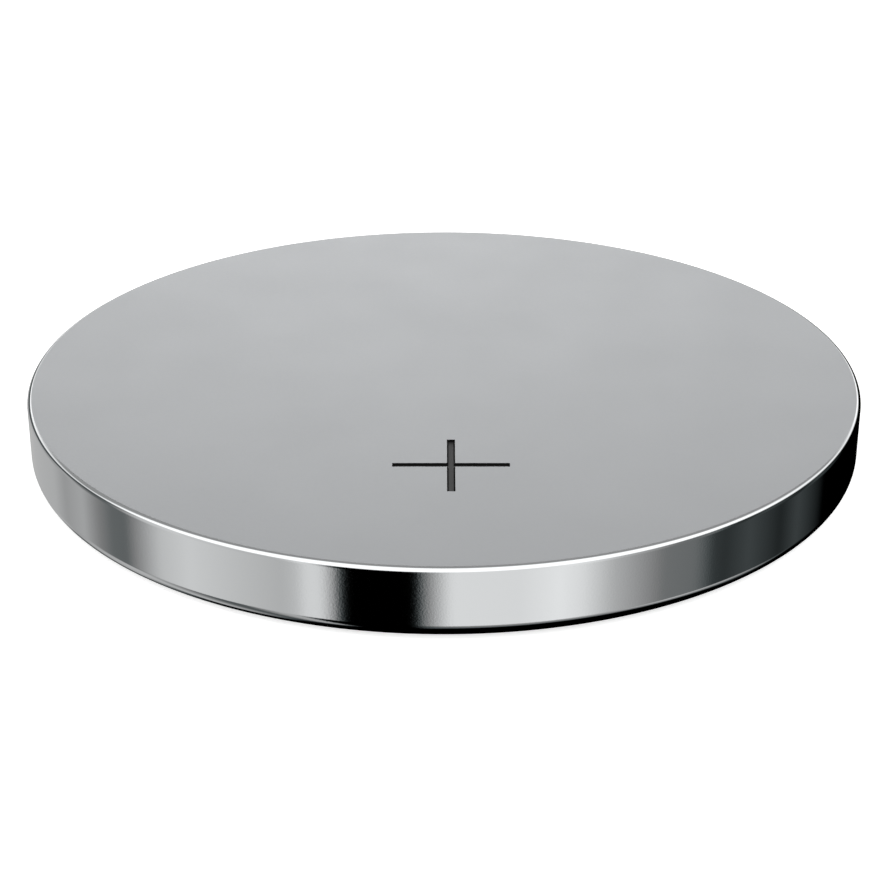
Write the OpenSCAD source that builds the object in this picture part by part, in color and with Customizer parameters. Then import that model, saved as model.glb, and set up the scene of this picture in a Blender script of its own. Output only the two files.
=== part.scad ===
// Lithium coin cell, 23 mm across and 2 mm high, in section from the outside in: a drawn steel can
// (positive), a moulded gasket, a steel cap (negative), and the disc stack that they hold.
// The cell stands on the flat face of its cap at z = 0, and the can's flat face is on top.

/* [Cell] */
// Diameter over the can
cell_d = 23; // [16:0.5:30]
// Height over both flat faces
cell_h = 2; // [1.8:0.1:5.4]

/* [Positive can] */
// Thickness of the can's sheet
can_t = 0.25; // [0.2:0.01:0.3]
// Outer radius where the flat face turns into the wall
can_corner_r = 0.14; // [0.05:0.01:0.3]
// Inner radius of that same corner
can_inner_r = 0.06; // [0.02:0.01:0.2]
// Outer radius of the curl that closes the can over the gasket
curl_r = 0.4; // [0.35:0.01:0.6]
// How far the closed lip reaches in from the wall
lip_reach = 1.05; // [0.8:0.05:1.4]
// How far the cap stands out below the closed lip
cap_proud = 0.08; // [0.04:0.01:0.12]

/* [Negative cap] */
// Thickness of the cap's sheet
cap_t = 0.2; // [0.15:0.01:0.25]
// Outer radius at the edge of the cap's flat face
cap_edge_r = 0.3; // [0.26:0.01:0.32]
// Fillet between the step and the flange, on the outside
step_fillet_r = 0.12; // [0.05:0.01:0.16]
// Outer radius where the flange turns up into the skirt
skirt_bend_r = 0.35; // [0.3:0.01:0.4]

/* [Sealing gasket] */
// Thickness between the can's wall and the cap's skirt
gasket_wall_t = 0.3; // [0.25:0.01:0.4]
// Thickness between the closed lip and the cap's flange
gasket_seal_t = 0.2; // [0.15:0.01:0.25]
// Thickness between the skirt's edge and the can's flat face
gasket_floor_t = 0.25; // [0.2:0.01:0.35]
// Thickness of the leg inside the skirt
gasket_leg_t = 0.25; // [0.2:0.01:0.3]
// How far that leg reaches down over the skirt
gasket_leg_h = 0.5; // [0.3:0.05:0.6]
// Width of the ring that shows between the lip and the cap
gasket_ring_w = 0.3; // [0.2:0.01:0.4]
// How deep that ring lies behind the lip's face
gasket_ring_depth = 0.06; // [0.02:0.01:0.15]
// Clearance between the ring and the cap's step
gasket_gap = 0.04; // [0.02:0.01:0.1]

/* [Electrode stack] */
// Thickness of the lithium disc
anode_t = 0.3; // [0.2:0.01:0.4]
// Thickness of the separator
separator_t = 0.2; // [0.1:0.01:0.25]
// Thickness of the collector screen
collector_t = 0.15; // [0.05:0.01:0.2]
// Clearance between the separator and the cap's step
separator_gap = 0.3; // [0.1:0.05:0.5]
// How far the separator reaches past the lithium disc
anode_margin = 0.8; // [0.4:0.1:1.5]
// How far the separator reaches past the cathode pellet
cathode_margin = 0.6; // [0.4:0.1:1.5]
// Chamfer on the edges of the pressed pellet
pellet_chamfer = 0.15; // [0.05:0.05:0.25]
// How far the pellet reaches past the collector screen
collector_margin = 0.2; // [0:0.1:1]
// Width of one strand of the screen
strand_w = 0.2; // [0.15:0.01:0.3]
// Distance from one strand of the screen to the next
strand_pitch = 1.2; // [0.8:0.1:2]
// Width of the screen's solid edge
collector_edge_w = 0.4; // [0.3:0.1:0.8]

/* [Hidden] */
$fn = 128;

// The can
can_r = cell_d / 2;
can_bore_r = can_r - can_t;
can_roof_z = cell_h - can_t;
lip_z = cap_proud;
lip_top_z = lip_z + can_t;
lip_r = can_r - lip_reach;

// The cap
flange_z = lip_top_z + gasket_seal_t;
step_r = lip_r - gasket_ring_w - gasket_gap;
skirt_r = can_bore_r - gasket_wall_t;
skirt_bore_r = skirt_r - cap_t;
skirt_top_z = can_roof_z - gasket_floor_t;
recess_r = step_r - cap_t;

// The stack, from the cap up
anode_z = cap_t;
separator_z = anode_z + anode_t;
cathode_z = separator_z + separator_t;
collector_z = can_roof_z - collector_t;
separator_r = recess_r - separator_gap;
anode_r = separator_r - anode_margin;
cathode_r = separator_r - cathode_margin;
cathode_t = collector_z - cathode_z;
collector_r = cathode_r - collector_margin;

// Half section of a round block from z = low to z = high, its two outer edges rounded
module block_section(radius, low, high, low_r, high_r) {
    difference() {
        translate([0, low]) square([radius, high - low]);
        if (low_r > 0) edge_waste(radius, low, low_r, 1);
        if (high_r > 0) edge_waste(radius, high, high_r, -1);
    }
}

// What a rounded edge takes away from a square one; side is 1 on a lower edge and -1 on an upper one
module edge_waste(radius, level, round_r, side) {
    difference() {
        translate([radius - round_r, level + (side - 1) / 2 * round_r]) square(round_r);
        translate([radius - round_r, level + side * round_r]) circle(round_r);
    }
}

// Material that a fillet leaves in the corner between a step and the flange above it
module fillet_section(radius, level, fillet_r) {
    difference() {
        translate([radius, level - fillet_r]) square(fillet_r);
        translate([radius + fillet_r, level - fillet_r]) circle(fillet_r);
    }
}

// Space inside the can, which the gasket fills to its edge
module can_bore_section() {
    block_section(can_bore_r, lip_top_z, can_roof_z, curl_r - can_t, can_inner_r);
}

// The cap with its hollow filled in, up to the edge of its skirt
module cap_outline_section() {
    block_section(step_r, 0, skirt_top_z, cap_edge_r, 0);
    block_section(skirt_r, flange_z, skirt_top_z, skirt_bend_r, 0);
    fillet_section(step_r, flange_z, step_fillet_r);
}

// The hollow of the cap, open at the top
module cap_hollow_section() {
    block_section(recess_r, cap_t, cell_h, cap_edge_r - cap_t, 0);
    block_section(skirt_bore_r, flange_z + cap_t, cell_h, skirt_bend_r - cap_t, 0);
    fillet_section(recess_r, flange_z + cap_t, step_fillet_r + cap_t);
}

// Round disc with its flat face on z = level
module disc(radius, level, thickness) {
    translate([0, 0, level]) cylinder(r = radius, h = thickness);
}

module positive_can() {
    color("silver")
    rotate_extrude()
    difference() {
        block_section(can_r, lip_z, cell_h, curl_r, can_corner_r);
        can_bore_section();
        square([lip_r, lip_top_z + can_inner_r]);
    }
}

module negative_cap() {
    color("gainsboro")
    rotate_extrude()
    difference() {
        cap_outline_section();
        cap_hollow_section();
    }
}

module sealing_gasket() {
    color("dimgray")
    rotate_extrude() {
        difference() {
            gasket_blank_section();
            cap_outline_section();
        }
        gasket_leg_section();
    }
}

// The gasket before the cap sinks in: wall, floor and the sole under the flange, with its ring
module gasket_blank_section() {
    ring_r = step_r + gasket_gap;
    leg_r = skirt_bore_r - gasket_leg_t;
    intersection() {
        can_bore_section();
        union() {
            translate([leg_r, skirt_top_z]) square([can_r, gasket_floor_t]);
            translate([ring_r, lip_top_z]) square([can_r, skirt_top_z - lip_top_z]);
        }
    }
    translate([ring_r, lip_z + gasket_ring_depth])
        square([gasket_ring_w, lip_top_z - lip_z - gasket_ring_depth]);
}

// The gasket's leg inside the skirt
module gasket_leg_section() {
    translate([skirt_bore_r - gasket_leg_t, skirt_top_z - gasket_leg_h])
        square([gasket_leg_t, gasket_leg_h + gasket_floor_t]);
}

module cathode_collector() {
    strands = floor(collector_r / strand_pitch);
    color("lightslategray")
    translate([0, 0, collector_z])
    linear_extrude(collector_t) {
        intersection() {
            circle(collector_r);
            union() {
                for (i = [-strands : strands]) {
                    translate([i * strand_pitch, 0]) square([strand_w, cell_d], center = true);
                    translate([0, i * strand_pitch]) square([cell_d, strand_w], center = true);
                }
            }
        }
        difference() {
            circle(collector_r);
            circle(collector_r - collector_edge_w);
        }
    }
}

module cathode_pellet() {
    color("darkslategray")
    translate([0, 0, cathode_z])
    rotate_extrude()
    polygon([
        [0, 0],
        [cathode_r - pellet_chamfer, 0],
        [cathode_r, pellet_chamfer],
        [cathode_r, cathode_t - pellet_chamfer],
        [cathode_r - pellet_chamfer, cathode_t],
        [0, cathode_t]
    ]);
}

module separator() {
    color("whitesmoke") disc(separator_r, separator_z, separator_t);
}

module lithium_anode() {
    color("lightgray") disc(anode_r, anode_z, anode_t);
}

positive_can();
negative_cap();
sealing_gasket();
cathode_collector();
cathode_pellet();
separator();
lithium_anode();
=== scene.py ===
# %% [markdown]
# A lithium coin cell is two shallow steel cups, one crimped over the other with a plastic ring between.
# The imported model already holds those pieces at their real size, so this lesson adds only the looks.
# Everything is in metres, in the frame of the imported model, and small sizes are written as mm * number.

# %% Load the fixed frame
import math
import bmesh
import bpy
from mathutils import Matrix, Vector


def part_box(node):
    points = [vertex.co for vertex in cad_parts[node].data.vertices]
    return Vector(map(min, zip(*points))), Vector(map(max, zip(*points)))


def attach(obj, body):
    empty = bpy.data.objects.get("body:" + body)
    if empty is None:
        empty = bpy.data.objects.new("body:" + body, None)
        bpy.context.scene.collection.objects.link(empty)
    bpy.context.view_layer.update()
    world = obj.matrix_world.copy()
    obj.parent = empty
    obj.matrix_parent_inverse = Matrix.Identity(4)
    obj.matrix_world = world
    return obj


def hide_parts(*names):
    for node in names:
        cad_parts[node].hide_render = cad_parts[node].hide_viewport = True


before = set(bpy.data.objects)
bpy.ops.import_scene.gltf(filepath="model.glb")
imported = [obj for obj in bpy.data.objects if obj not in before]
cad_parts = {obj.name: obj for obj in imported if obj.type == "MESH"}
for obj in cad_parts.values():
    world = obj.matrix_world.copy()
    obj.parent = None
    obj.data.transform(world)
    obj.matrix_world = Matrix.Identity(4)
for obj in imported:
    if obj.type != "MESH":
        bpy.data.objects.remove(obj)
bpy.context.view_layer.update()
scene = bpy.context.scene
mm = 0.001
print("nodes:", sorted(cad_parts))

# %% [markdown]
# Sizes come first, as a maker's drawing gives them. The outside sizes are read from the frame.
# The sheet, the curl and the lip can't be read from a box, so they are named here once.

# %% Driving sizes
can_low, can_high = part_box("positive_can")
cap_low, cap_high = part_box("negative_cap")
gasket_low, gasket_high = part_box("sealing_gasket")
cell_r = can_high[0]
cell_h = can_high[2]
lip_z = can_low[2]
can_t = 0.25 * mm
can_corner_r = 0.14 * mm
can_inner_r = 0.06 * mm
curl_r = 0.4 * mm
lip_reach = 1.05 * mm
lip_edge_r = 0.03 * mm
cap_t = 0.2 * mm
cap_edge_r = 0.3 * mm
step_fillet_r = 0.12 * mm
skirt_bend_r = 0.35 * mm
gasket_seal_t = 0.2 * mm
gasket_leg_t = 0.25 * mm
gasket_leg_h = 0.5 * mm
gasket_ring_w = 0.3 * mm
gasket_edge_r = 0.02 * mm
gasket_gap = 0.04 * mm
print(f"cell {2 * cell_r / mm:.2f} mm across and {cell_h / mm:.2f} mm high")

# %% [markdown]
# The camera comes before the surfaces, because a metal is judged by what it mirrors from one place.
# It stands well back and above the cell, and looks just below the cell's middle.
# The lens follows from how many pixels one millimetre takes in a picture 888 pixels wide.

# %% Camera
picture_px = 888
camera_distance = 60.0 * mm
camera_elevation = math.radians(24.36)
camera_dip = math.radians(1.1)
px_per_mm = 35.47

camera_data = bpy.data.cameras.new("camera")
camera_data.sensor_width = 36.0
camera_data.lens = px_per_mm * camera_distance / mm / picture_px * camera_data.sensor_width
camera_data.clip_start = 1.0 * mm
camera_data.clip_end = 10.0
camera = bpy.data.objects.new("camera", camera_data)
scene.collection.objects.link(camera)
camera.location = (
    0.0,
    -camera_distance * math.cos(camera_elevation),
    camera_distance * math.sin(camera_elevation) + cell_h / 2,
)
camera.rotation_euler = (math.pi / 2 - camera_elevation - camera_dip, 0.0, 0.0)
scene.camera = camera
print(f"lens {camera_data.lens:.1f} mm, {camera_distance / mm:.0f} mm from the cell")

# %% [markdown]
# Two helpers serve every finish. One turns the usual sRGB hex colour into the linear values that
# light is worked out in. The other adds a node, sets its choices and fills its inputs in one call.

# %% Helpers for colours and nodes


def linear(hex_colour):
    """An sRGB hex colour as linear red, green, blue and alpha."""
    parts = [int(hex_colour[i:i + 2], 16) / 255 for i in (1, 3, 5)]
    return [c / 12.92 if c <= 0.04045 else ((c + 0.055) / 1.055) ** 2.4 for c in parts] + [1.0]


def add_node(tree, kind, inputs=None, **settings):
    """Adds one node with its own choices. An input takes a value, or a link if it is given a socket."""
    node = tree.nodes.new(kind)
    for key, value in settings.items():
        setattr(node, key, value)
    for key, value in (inputs or {}).items():
        if isinstance(value, bpy.types.NodeSocket):
            tree.links.new(value, node.inputs[key])
        else:
            node.inputs[key].default_value = value
    return node


print(f"sRGB mid grey is {linear('#808080')[0]:.3f} in linear light")

# %% [markdown]
# Steel this smooth has hardly any colour of its own: its bright and dark bands are the studio.
# Real cells are shot between white and black cards, and one way is to stand such cards around.
# Here the cards are painted on the world instead, low down all round, which keeps the floor clear.
# Each card edge is a heading from the camera's side in degrees, rightwards, and a brightness there.
# The wall mirrors the first ring, and the curl under it mirrors the second, which hangs lower.
# A colour ramp holds 32 stops and needs one to spare while it is filled, so a ring has 31 at most.

# %% Two rings of cards
CARDS = (
    (-133, 0.62),
    (-125, 0.48),
    (-115, 0.58),
    (-107, 0.32),
    (-101, 0.20),
    (-95, 0.19),
    (-88, 0.50),
    (-82, 0.80),
    (-72, 0.95),
    (-44, 0.69),
    (-40, 0.77),
    (-37, 1.02),
    (-33, 1.03),
    (-29.1, 0.43),
    (-27.8, 0.08),
    (-26.4, 0.0),
    (-7.2, 0.0),
    (-3.8, 0.40),
    (2, 1.12),
    (20, 1.10),
    (31, 1.25),
    (37, 1.12),
    (46, 0.66),
    (61, 0.25),
    (71, 0.22),
    (77, 0.062),
    (81, 0.045),
    (90, 0.083),
    (103, 0.026),
    (111, 0.075),
    (125, 0.0),
)
LOW_CARDS = (
    (-180, 0.0),
    (-150, 0.05),
    (-128, 0.60),
    (-100, 0.70),
    (-85, 0.45),
    (-70, 0.15),
    (-60, 0.13),
    (-50, 0.45),
    (-46, 0.62),
    (-41, 0.55),
    (-36, 0.0),
    (-8, 0.0),
    (0, 0.25),
    (45, 0.50),
    (70, 0.75),
    (90, 0.60),
    (105, 0.25),
    (115, 0.0),
    (180, 0.0),
)
print(f"{len(CARDS)} card edges round the wall and {len(LOW_CARDS)} round the curl")

# %% [markdown]
# A world is asked for the light from every direction, so the direction is its only input. Three
# parts of it are enough: how far it points across, ahead towards the camera's side, and upwards.
# The rise is turned into an angle, and across and ahead together give the heading.

# %% Directions round the cell
world = bpy.data.worlds.new("studio")
world.use_nodes = True
scene.world = world
studio = world.node_tree
studio.nodes.clear()
look = add_node(studio, "ShaderNodeTexCoord").outputs["Generated"]
way = add_node(studio, "ShaderNodeSeparateXYZ", {0: look}).outputs
across = way["X"]
outwards = add_node(studio, "ShaderNodeMath", {0: across}, operation="ABSOLUTE").outputs[0]
ahead = add_node(studio, "ShaderNodeMath", {0: way["Y"], 1: -1.0}, operation="MULTIPLY").outputs[0]
rise = add_node(studio, "ShaderNodeMath", {0: way["Z"]}, operation="ARCSINE").outputs[0]
heading = add_node(studio, "ShaderNodeMath", {0: across, 1: ahead}, operation="ARCTAN2").outputs[0]
full_turn = {"Value": heading, "From Min": -math.pi, "From Max": math.pi}
around = add_node(studio, "ShaderNodeMapRange", full_turn).outputs[0]
print(f"{len(studio.nodes)} nodes find across, outwards, ahead, rise and heading")

# %% [markdown]
# A ring of cards is a colour ramp bent round the horizon. A single card is laid over what is there
# already, with soft edges, as a card near a small object is always out of focus in its picture.
# An edge that leans follows a second direction too, so that one card can be taller at its sides.

# %% A ring of cards, and a card over another


def ring_of_cards(card_list):
    """A ramp round the horizon with one stop for each card edge; returns its brightness."""
    ramp = add_node(studio, "ShaderNodeValToRGB", {0: around})
    stops = ramp.color_ramp.elements
    while len(stops) > 1:
        stops.remove(stops[-1])
    for degrees, level in card_list:
        stop = stops.new((degrees + 180) / 360)
        stop.color = (level, level, level, 1.0)
    stops.remove(stops[0])
    return ramp.outputs["Color"]


def card_over(under, card, *edges):
    """Lays a card over what is under it; each is a brightness or a socket. An edge is a direction,
    two limits between which the card comes in, and perhaps a lean: a share of another direction."""
    cover = 1.0
    for direction, (outside, inside), *lean in edges:
        if lean:
            share, other = lean
            leaning = {0: other, 1: share, 2: direction}
            direction = add_node(
                studio, "ShaderNodeMath", leaning, operation="MULTIPLY_ADD"
            ).outputs[0]
        fade = {"Value": direction, "From Min": outside, "From Max": inside, "To Max": cover}
        cover = add_node(studio, "ShaderNodeMapRange", fade).outputs[0]
    pair = {"Factor": cover, "A": under, "B": card}
    return add_node(studio, "ShaderNodeMix", pair, data_type="FLOAT").outputs[0]


# %% [markdown]
# The curl mirrors what is low down and underfoot. The lower ring ends there in black, which draws
# the dark line under the cell. The foot of that ring hangs lower on the left, where the curl stays
# light for longer, but not behind the cell.

# %% The cards low down
card_join = (math.radians(-36), math.radians(-32))
card_foot = (math.radians(-54), math.radians(-43))
foot_lean = -0.14
foot_drop = math.radians(14)
foot_drop_left = (0.0, -0.3)
foot_drop_front = (-0.3, -0.1)

drop = card_over(0.0, foot_drop, (across, foot_drop_left), (ahead, foot_drop_front))
height = add_node(studio, "ShaderNodeMath", {0: rise, 1: drop}, operation="ADD").outputs[0]
lower_ring = card_over(0.0, ring_of_cards(LOW_CARDS), (height, card_foot, foot_lean, across))
rings = card_over(lower_ring, ring_of_cards(CARDS), (rise, card_join))
print(f"the rings meet {-math.degrees(sum(card_join) / 2):.0f} degrees below the horizon")

# %% [markdown]
# The flat face mirrors a soft box behind the cell. It fades upwards, so the face is brightest at its
# far side. The rounded rim mirrors the rest: a bright board in front that draws the white line, one
# more at the right, and a dark card low at the back left, where that line turns dark.

# %% The boards above the cards
card_top = (math.radians(4), math.radians(14))
card_top_lean = -0.2
soft_box = 2.97
above_soft_box = 0.43
soft_box_edge = (math.radians(33), math.radians(12))
soft_box_lean = 0.07
right_board = 1.5
right_board_edge = (0.55, 0.7)
front_board = 1.8
front_board_edge = (-0.06, 0.2)
front_board_wings = 0.35
dark_card = 0.12
dark_card_right = (-0.28, -0.42)
dark_card_front = (0.1, -0.2)
dark_card_foot = (math.radians(-4), math.radians(1))
dark_card_top = (math.radians(19), math.radians(14))

above = card_over(above_soft_box, soft_box, (rise, soft_box_edge, soft_box_lean, outwards))
above = card_over(above, right_board, (across, right_board_edge))
above = card_over(above, front_board, (ahead, front_board_edge, front_board_wings, outwards))
level = card_over(rings, above, (rise, card_top, card_top_lean, outwards))
level = card_over(
    level,
    dark_card,
    (across, dark_card_right),
    (ahead, dark_card_front),
    (rise, dark_card_foot),
    (rise, dark_card_top),
)
print(f"soft box {soft_box}, boards {front_board} and {right_board}, dark card {dark_card}")

# %% [markdown]
# Black card is never quite neutral. This one is slightly blue-green, and the light ones are white.

# %% Card paper and light
dark_paper = "#D4E7EA"
light_paper = "#E7E7E7"
light_paper_from = 0.3

paper = add_node(studio, "ShaderNodeValToRGB", {0: level})
paper.color_ramp.elements[0].color = linear(dark_paper)
paper.color_ramp.elements[1].color = linear(light_paper)
paper.color_ramp.elements[1].position = light_paper_from
glow = {"Color": paper.outputs["Color"], "Strength": level}
shine = add_node(studio, "ShaderNodeBackground", glow)
add_node(studio, "ShaderNodeOutputWorld", {0: shine.outputs[0]})
scene.view_settings.view_transform = "Standard"
print(f"the studio takes {len(studio.nodes)} nodes")

# %% [markdown]
# The floor is a plain white light table, lit softly from below, so the cell casts hardly a shadow.
# Metal doesn't mirror it, because the cards stand in for it there.

# %% Floor


def finish_material(name):
    """A new material with only a shader and an output."""
    material = bpy.data.materials.new(name)
    material.use_nodes = True
    tree = material.node_tree
    tree.nodes.clear()
    shader = add_node(tree, "ShaderNodeBsdfPrincipled")
    add_node(tree, "ShaderNodeOutputMaterial", {0: shader.outputs[0]})
    return material, shader


def show_mesh(name, bm, materials):
    """Turns a bmesh into a piece at the origin, with the given materials."""
    mesh = bpy.data.meshes.new(name)
    bm.to_mesh(mesh)
    bm.free()
    for material in materials:
        mesh.materials.append(material)
    piece = bpy.data.objects.new(name, mesh)
    scene.collection.objects.link(piece)
    return piece


floor_half = 600 * mm
light_table, shader = finish_material("light_table")
shader.inputs["Base Color"].default_value = linear("#F6F6F5")
shader.inputs["Roughness"].default_value = 0.9
shader.inputs["Emission Color"].default_value = linear("#FFFFFF")
shader.inputs["Emission Strength"].default_value = 0.6
bm = bmesh.new()
bmesh.ops.create_grid(bm, x_segments=1, y_segments=1, size=floor_half)
floor = show_mesh("floor", bm, [light_table])
floor.visible_glossy = False
print(f"floor {2 * floor_half / mm:.0f} mm square")

# %% [markdown]
# The can is deep-drawn from stainless strip and plated with nickel. Its flat face keeps the fine,
# even dullness of the rolled strip, and its wall was burnished by the drawing ring, so it mirrors.
# One metal therefore needs two finishes, which differ in roughness and in the size of their marks.
# Nickel is a grey metal with hardly a hue, so the colours are nearly neutral and metallic is 1.
# The real grain is finer than a pixel and wouldn't show, so it is drawn coarser here, at five to
# nine hundredths of a millimetre. The cloud is handling, which dulls the plate in broad patches.

# %% Nickel-plated steel, rolled face and drawn wall
face_grain = 0.09 * mm
wall_grain = 0.05 * mm
cloud_size = 2.5 * mm
cloud_share = 0.35


def nickel_plate(name, colour, roughness, spread, grain, height):
    """Nickel plate with a grain of a given size and height, and a roughness that varies by spread."""
    material, shader = finish_material(name)
    tree = material.node_tree
    shader.inputs["Base Color"].default_value = linear(colour)
    shader.inputs["Metallic"].default_value = 1.0
    place = add_node(tree, "ShaderNodeTexCoord").outputs["Object"]
    fine = add_node(
        tree,
        "ShaderNodeTexNoise",
        {"Vector": place, "Scale": 1 / grain, "Detail": 3.0, "Roughness": 0.6},
    ).outputs["Fac"]
    cloud = add_node(
        tree,
        "ShaderNodeTexNoise",
        {"Vector": place, "Scale": 1 / cloud_size, "Detail": 2.0},
    ).outputs["Fac"]
    both = add_node(
        tree,
        "ShaderNodeMix",
        {"Factor": cloud_share, "A": fine, "B": cloud},
        data_type="FLOAT",
    ).outputs[0]
    rough = add_node(
        tree,
        "ShaderNodeMapRange",
        {
            "Value": both,
            "From Min": 0.3,
            "From Max": 0.7,
            "To Min": roughness - spread,
            "To Max": roughness + spread,
        },
    )
    bump = add_node(tree, "ShaderNodeBump", {"Strength": 1.0, "Distance": height, "Height": fine})
    tree.links.new(rough.outputs[0], shader.inputs["Roughness"])
    tree.links.new(bump.outputs[0], shader.inputs["Normal"])
    return material


rolled_face = nickel_plate("nickel_plate_rolled", "#BABCBE", 0.38, 0.03, face_grain, 0.0012 * mm)
drawn_wall = nickel_plate("nickel_plate_drawn", "#DFE1E2", 0.05, 0.03, wall_grain, 0.0006 * mm)
print("finishes:", rolled_face.name, drawn_wall.name)

# %% [markdown]
# The plus sign is coined into the face. The die leaves its floor rough and grey, and its steep walls
# are painted near black with hardly any shine, a painted shade that draws a thin black line round the
# sign.

# %% Coined floor, and painted shade on the walls of the plus sign
coined_floor, shader = finish_material("nickel_coined_floor")
shader.inputs["Base Color"].default_value = linear("#494949")
shader.inputs["Metallic"].default_value = 0.8
shader.inputs["Roughness"].default_value = 0.55
# The walls' near-black colour and weak shine are painted shade in the recess, not a finish of the metal.
coined_wall_painted_shade, shader = finish_material("nickel_coined_wall")
shader.inputs["Base Color"].default_value = linear("#0A0A0A")
shader.inputs["Roughness"].default_value = 0.9
shader.inputs["Specular IOR Level"].default_value = 0.1
print("finishes:", coined_floor.name, coined_wall_painted_shade.name)

# %% [markdown]
# The can is one closed sheet, so its half section is one closed outline. It is drawn as a flat face
# with square corners, and each corner is rounded by a vertex bevel at its own radius.
# Turning the outline about the axis gives the can, as a lathe would. A sphere or a cylinder with
# modifiers couldn't give a curl, a lip and a hollow at once.

# %% Turn a section about the cell's axis
turn_steps = 256
arc_steps = 10
same_place = 0.0005 * mm
sheet_inset = 1.5 * mm


def section_face(bm, corners):
    """A flat face in the XZ plane through (radius, height, round) corners, with its corners rounded."""
    spots = [bm.verts.new((radius, 0.0, height)) for radius, height, rounding in corners]
    bm.faces.new(spots)
    for spot, (radius, height, rounding) in zip(spots, corners):
        if rounding:
            bmesh.ops.bevel(
                bm,
                geom=[spot],
                offset=rounding,
                offset_type="OFFSET",
                segments=arc_steps,
                profile=0.5,
                affect="VERTICES",
                material=-1,
                clamp_overlap=False,
            )


def turned(corners, seam=None):
    """A bmesh of the section turned once round. seam is a radius: the two level edges that end there
    are joined by a round flat sheet each instead of being closed off."""
    bm = bmesh.new()
    section_face(bm, corners)
    bmesh.ops.delete(bm, geom=list(bm.faces), context="FACES_ONLY")
    if seam is not None:
        inner = [e for e in bm.edges if all(abs(v.co.x - seam) < same_place for v in e.verts)]
        bmesh.ops.delete(bm, geom=inner, context="EDGES")
    bmesh.ops.spin(
        bm,
        geom=list(bm.verts) + list(bm.edges),
        cent=(0, 0, 0),
        axis=(0, 0, 1),
        dvec=(0, 0, 0),
        angle=2 * math.pi,
        steps=turn_steps,
        use_merge=True,
        use_duplicate=False,
    )
    if seam is not None:
        bmesh.ops.holes_fill(bm, edges=[e for e in bm.edges if e.is_boundary], sides=0)
    bmesh.ops.remove_doubles(bm, verts=list(bm.verts), dist=same_place)
    bmesh.ops.recalc_face_normals(bm, faces=list(bm.faces))
    return bm


can_roof_z = cell_h - can_t
lip_top_z = lip_z + can_t
lip_r = cell_r - lip_reach
face_r = cell_r - sheet_inset
can_section = (
    (face_r, cell_h, 0),
    (cell_r, cell_h, can_corner_r),
    (cell_r, lip_z, curl_r),
    (lip_r, lip_z, lip_edge_r),
    (lip_r, lip_top_z, lip_edge_r),
    (cell_r - can_t, lip_top_z, curl_r - can_t),
    (cell_r - can_t, can_roof_z, can_inner_r),
    (face_r, can_roof_z, 0),
)
can_mesh = turned(can_section, seam=face_r)
print(f"can: {len(can_mesh.verts)} points, {len(can_mesh.faces)} faces")

# %% [markdown]
# The plus sign is cut where it stands, in front of the face's middle. Planes cut the round flat
# sheet into cells, and the five cells of the plus are inset and pushed in, which leaves sloping walls.
# A boolean would do it too, but it leaves a less even mesh, and no control of the slope.

# %% Coin the plus sign
plus_centre = Vector((0.18 * mm, -6.01 * mm))
plus_arm = 1.5 * mm
plus_stroke = 0.21 * mm
plus_depth = 0.06 * mm
plus_slope = 0.04 * mm
hair = 0.001 * mm
cut_tolerance = 0.00001 * mm


def top_sheet(bm):
    """The faces of the can's round flat sheet, on its outer side."""
    level = cell_h - hair
    inside = face_r + hair
    return [
        f for f in bm.faces
        if all(v.co.z > level and v.co.xy.length < inside for v in f.verts)
    ]


for axis in (0, 1):
    for reach in (plus_arm, plus_stroke / 2):
        for side in (-1, 1):
            sheet = top_sheet(can_mesh)
            around_sheet = {e for f in sheet for e in f.edges} | {v for f in sheet for v in f.verts}
            place = Vector((0, 0, 0))
            place[axis] = plus_centre[axis] + side * reach
            normal = Vector((0, 0, 0))
            normal[axis] = 1
            bmesh.ops.bisect_plane(
                can_mesh,
                geom=sheet + list(around_sheet),
                plane_co=place,
                plane_no=normal,
                dist=cut_tolerance,
            )
cells = []
for f in top_sheet(can_mesh):
    off = [abs(f.calc_center_median()[i] - plus_centre[i]) for i in (0, 1)]
    if min(off) < plus_stroke / 2 and max(off) < plus_arm:
        cells.append(f)
walls = bmesh.ops.inset_region(
    can_mesh, faces=cells, thickness=plus_slope, depth=-plus_depth, use_even_offset=True
)["faces"]
for f in cells:
    f.material_index = 2
# The sloping walls take the near-black painted shade.
for f in walls:
    f.material_index = 3
print(f"plus sign: {len(cells)} cells pushed in, {len(walls)} sloping walls")

# %% [markdown]
# The rolled finish stops where the face turns into the wall, and the drawn finish starts there.
# Normals are weighted by face size, so that the flat face stays flat up to its rounded edge.
# In square metres these faces are tiny, so the modifier needs the mode that weighs angles too, its
# full weight and a threshold as small as they are. Without that the bands on the wall would slant.

# %% Finish the can


def finish_piece(piece, replaced):
    """Smooth shading with true flats; the piece rides on the root and stands for its node."""
    for polygon in piece.data.polygons:
        polygon.use_smooth = True
    piece.data.set_sharp_from_angle(angle=math.radians(32))
    weighted = piece.modifiers.new("flat_faces_stay_flat", "WEIGHTED_NORMAL")
    weighted.mode = "FACE_AREA_WITH_ANGLE"
    weighted.weight = 100
    weighted.thresh = 0.0001 * mm * mm
    weighted.keep_sharp = True
    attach(piece, "root")
    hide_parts(replaced)


level_enough = 0.98
for f in can_mesh.faces:
    rolled = f.normal.z > level_enough and f.calc_center_median().z > can_roof_z
    if f.material_index == 0 and not rolled:
        f.material_index = 1
can = show_mesh("can", can_mesh, [rolled_face, drawn_wall, coined_floor, coined_wall_painted_shade])
finish_piece(can, "positive_can")
print(f"{can.name}: {len(can.data.polygons)} faces")

# %% [markdown]
# The cap is the second cup. Only its flat face and its step show, from below, but it is made whole,
# with the flange under the lip and the skirt that turns up into the gasket. It is nickel-plated
# strip like the can, but satin all over, because no drawing ring burnished what shows of it.

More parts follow.
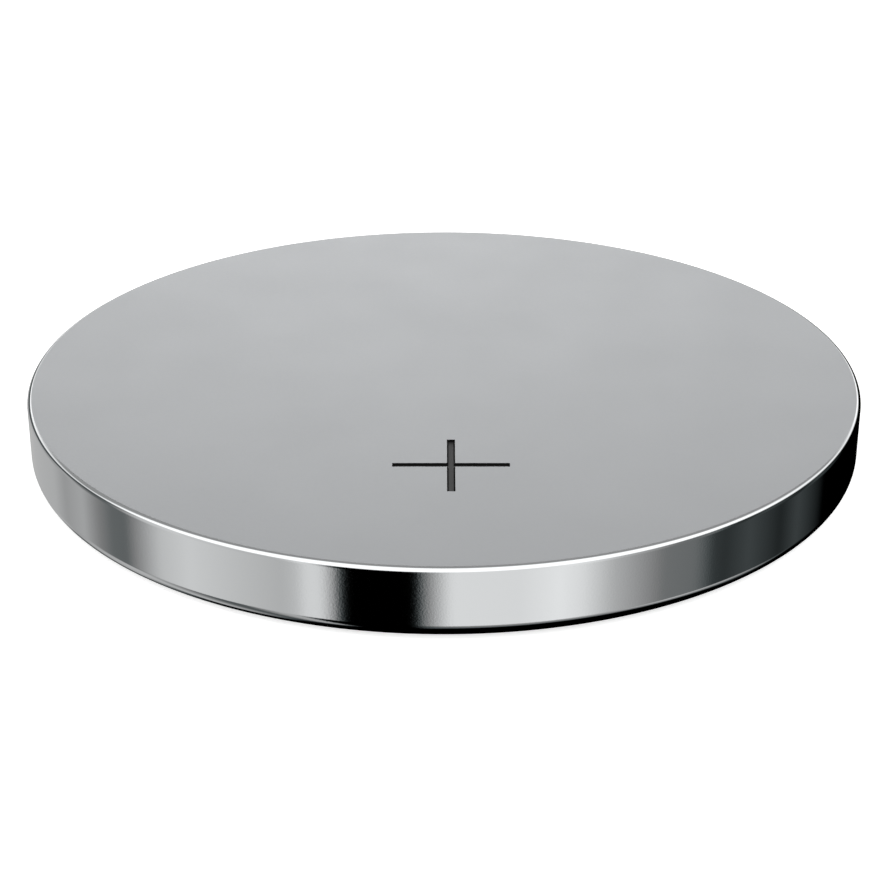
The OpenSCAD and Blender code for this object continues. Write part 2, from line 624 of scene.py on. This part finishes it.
# %% Cap
flange_z = lip_top_z + gasket_seal_t
step_r = lip_r - gasket_ring_w - gasket_gap
skirt_r = cap_high[0]
skirt_top_z = cap_high[2]
recess_r = step_r - cap_t
cap_face_r = step_r - sheet_inset
cap_section = (
    (cap_face_r, cap_low[2], 0),
    (step_r, cap_low[2], cap_edge_r),
    (step_r, flange_z, step_fillet_r),
    (skirt_r, flange_z, skirt_bend_r),
    (skirt_r, skirt_top_z, 0),
    (skirt_r - cap_t, skirt_top_z, 0),
    (skirt_r - cap_t, flange_z + cap_t, skirt_bend_r - cap_t),
    (recess_r, flange_z + cap_t, step_fillet_r + cap_t),
    (recess_r, cap_low[2] + cap_t, cap_edge_r - cap_t),
    (cap_face_r, cap_low[2] + cap_t, 0),
)
cap_finish = nickel_plate("nickel_plate_cap", "#C9CACA", 0.3, 0.04, face_grain, 0.001 * mm)
cap = show_mesh("cap", turned(cap_section, seam=cap_face_r), [cap_finish])
finish_piece(cap, "negative_cap")
print(f"{cap.name}: {len(cap.data.polygons)} faces")

# %% [markdown]
# The gasket is moulded polypropylene: a dark, slightly waxy plastic with soft, broad gloss.

# %% Gasket
gasket_r = gasket_high[0]
gasket_ring_r = step_r + gasket_gap
leg_r = skirt_r - cap_t - gasket_leg_t
gasket_section = (
    (gasket_ring_r, gasket_low[2], gasket_edge_r),
    (lip_r, gasket_low[2], 0),
    (lip_r, lip_top_z, 0),
    (gasket_r, lip_top_z, curl_r - can_t),
    (gasket_r, gasket_high[2], can_inner_r),
    (leg_r, gasket_high[2], 0),
    (leg_r, skirt_top_z - gasket_leg_h, 0),
    (skirt_r - cap_t, skirt_top_z - gasket_leg_h, 0),
    (skirt_r - cap_t, skirt_top_z, 0),
    (skirt_r, skirt_top_z, 0),
    (skirt_r, flange_z, skirt_bend_r),
    (gasket_ring_r, flange_z, step_fillet_r - gasket_gap),
)
gasket_plastic, shader = finish_material("moulded_polypropylene")
shader.inputs["Base Color"].default_value = linear("#2B2B2D")
shader.inputs["Roughness"].default_value = 0.45
shader.inputs["IOR"].default_value = 1.49
gasket = show_mesh("gasket", turned(gasket_section), [gasket_plastic])
finish_piece(gasket, "sealing_gasket")
print(f"{gasket.name}: {len(gasket.data.polygons)} faces")

# %% [markdown]
# The disc stack inside never shows, but it is finished as the real pieces are: a steel screen that
# glints, a pressed disc of oxide and carbon that is matt black, a dull white fleece, and a soft
# foil of lithium that is dull silver with broad marks from rolling.

# %% Inner pieces


def inner_material(name, colour, metallic, roughness, grain, height):
    """A plain finish with a grain of a real size and height."""
    material, shader = finish_material(name)
    tree = material.node_tree
    shader.inputs["Base Color"].default_value = linear(colour)
    shader.inputs["Metallic"].default_value = metallic
    shader.inputs["Roughness"].default_value = roughness
    place = add_node(tree, "ShaderNodeTexCoord").outputs["Object"]
    noise = add_node(tree, "ShaderNodeTexNoise", {"Vector": place, "Scale": 1 / grain, "Detail": 4.0})
    bump = add_node(tree, "ShaderNodeBump", {"Distance": height, "Height": noise.outputs["Fac"]})
    tree.links.new(bump.outputs[0], shader.inputs["Normal"])
    return material


# Each node gets a finish: name, colour, metallic, roughness, size and height of the grain
INNER = {
    "cathode_collector": ("stainless_screen", "#A9A9A6", 1.0, 0.35, 0.1 * mm, 0.002 * mm),
    "cathode_pellet": ("pressed_manganese_dioxide", "#1E1D1C", 0.0, 0.85, 0.15 * mm, 0.01 * mm),
    "separator": ("polypropylene_fleece", "#E4E3DE", 0.0, 0.9, 0.08 * mm, 0.02 * mm),
    "lithium_anode": ("lithium_foil", "#B9B8B4", 1.0, 0.4, 0.3 * mm, 0.002 * mm),
}
for node_name, values in INNER.items():
    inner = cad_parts[node_name]
    inner.data.materials.clear()
    inner.data.materials.append(inner_material(*values))
    print(node_name, "in", values[0])
